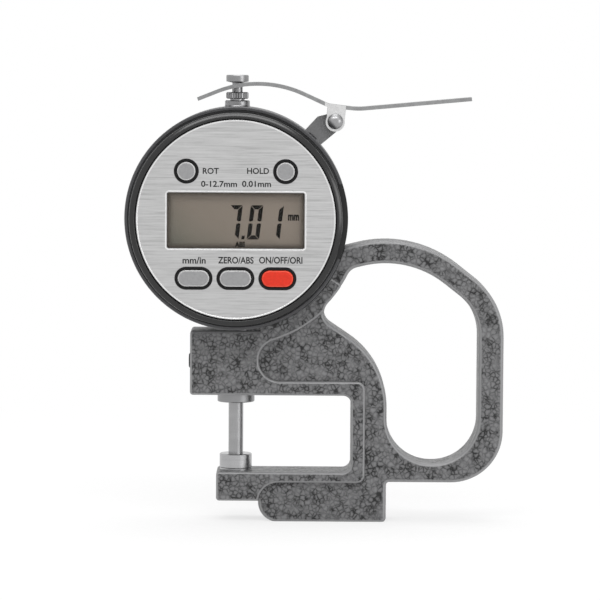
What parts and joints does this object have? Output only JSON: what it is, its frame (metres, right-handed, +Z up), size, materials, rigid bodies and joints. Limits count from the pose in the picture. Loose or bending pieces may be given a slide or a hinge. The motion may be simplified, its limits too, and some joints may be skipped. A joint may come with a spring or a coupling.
{
  "type": "digital thickness gauge",
  "caption": "Hand-held digital thickness gauge: C-shaped cast frame with a loop handle, round display indicator, lifting lever and flat disc contact over an anvil.",
  "frame": {"origin": "middle of the foot's flat bottom face", "axes": "+Z up along the spindle, +X to the loop handle as seen from the dial's side, +Y from the dial to the back"},
  "size_m": [0.1027, 0.0273, 0.1211],
  "materials": {
    "hammertone_paint": "grey hammertone paint",
    "ground_steel": "ground and turned steel",
    "dark_screw": "black oxide",
    "black_housing": "glossy black",
    "dial_plate": "horizontally brushed",
    "clear_window": "clear, polished",
    "display_glass": "grey-brown display",
    "grey_key": "soft grey",
    "red_key": "bright red",
    "black_rubber": "soft black",
    "switch_case": "matt black",
    "circuit_board": "green solder mask",
    "zinc_screw": "zinc plated",
    "scale_strip": "pale strip",
    "spring_wire": "drawn wire",
    "cell_steel": "satin",
    "lever_steel": "satin",
    "painted_bracket": "dark grey paint"
  },
  "bodies": {
    "gauge": {"frame": "hammertone_paint", "anvil": "ground_steel", "stem_bush": "ground_steel", "stem_clamp_screw": "dark_screw", "stem": "ground_steel", "top_bush": "ground_steel", "rear_housing": "black_housing", "front_housing": "black_housing", "back_cover": "black_housing", "battery_cover": "black_housing", "face_plate": "dial_plate", "display_window": "clear_window", "lcd_glass": "display_glass", "contact_strips": "black_rubber", "key_switches": "switch_case", "main_board": "circuit_board", "sensor_board": "circuit_board", "board_screws": "zinc_screw", "board_spacers": "switch_case", "guide_rod": "ground_steel", "return_spring": "spring_wire", "battery": "cell_steel", "battery_holder": "switch_case", "battery_contacts": "spring_wire", "back_cover_screws": "dark_screw", "lever_bracket": "painted_bracket", "bracket_screws": "dark_screw", "pivot_screw": "ground_steel", "pivot_nut": "zinc_screw"},
    "spindle_set": {"spindle": "ground_steel", "contact_point": "ground_steel", "knurled_nut": "ground_steel", "lift_knob": "ground_steel", "spindle_carriage": "switch_case", "measuring_scale": "scale_strip"},
    "lever": {"lift_lever": "lever_steel"},
    "rotate_key": {"rotate_button": "grey_key"},
    "hold_key": {"hold_button": "grey_key"},
    "unit_key": {"unit_button": "grey_key"},
    "zero_key": {"zero_button": "grey_key"},
    "power_key": {"power_button": "red_key"}
  },
  "joints": [
    {"name": "spindle_slide", "type": "slide", "parent": "gauge", "child": "spindle_set", "axis": [0, 0, 1], "range_m": [0, 0.0127], "stiffness_N_per_m": 50, "springref_m": -0.02, "deforming": ["return_spring"]},
    {"name": "lever_pivot", "type": "hinge", "parent": "gauge", "child": "lever", "pos_m": [0.00295, 0, 0.1087], "axis": [0, 1, 0], "range_deg": [0, 27.4]},
    {"name": "rotate_press", "type": "slide", "parent": "gauge", "child": "rotate_key", "axis": [0, 1, 0], "range_m": [0, 0.0005], "stiffness_N_per_m": 400, "springref_m": -0.001},
    {"name": "hold_press", "type": "slide", "parent": "gauge", "child": "hold_key", "axis": [0, 1, 0], "range_m": [0, 0.0005], "stiffness_N_per_m": 400, "springref_m": -0.001},
    {"name": "unit_press", "type": "slide", "parent": "gauge", "child": "unit_key", "axis": [0, 1, 0], "range_m": [0, 0.0005], "stiffness_N_per_m": 400, "springref_m": -0.001},
    {"name": "zero_press", "type": "slide", "parent": "gauge", "child": "zero_key", "axis": [0, 1, 0], "range_m": [0, 0.0005], "stiffness_N_per_m": 400, "springref_m": -0.001},
    {"name": "power_press", "type": "slide", "parent": "gauge", "child": "power_key", "axis": [0, 1, 0], "range_m": [0, 0.0005], "stiffness_N_per_m": 400, "springref_m": -0.001}
  ],
  "couplings": [
    {"joint": "lever_pivot", "follows": "spindle_slide", "rad_per_m": 37.52}
  ]
}
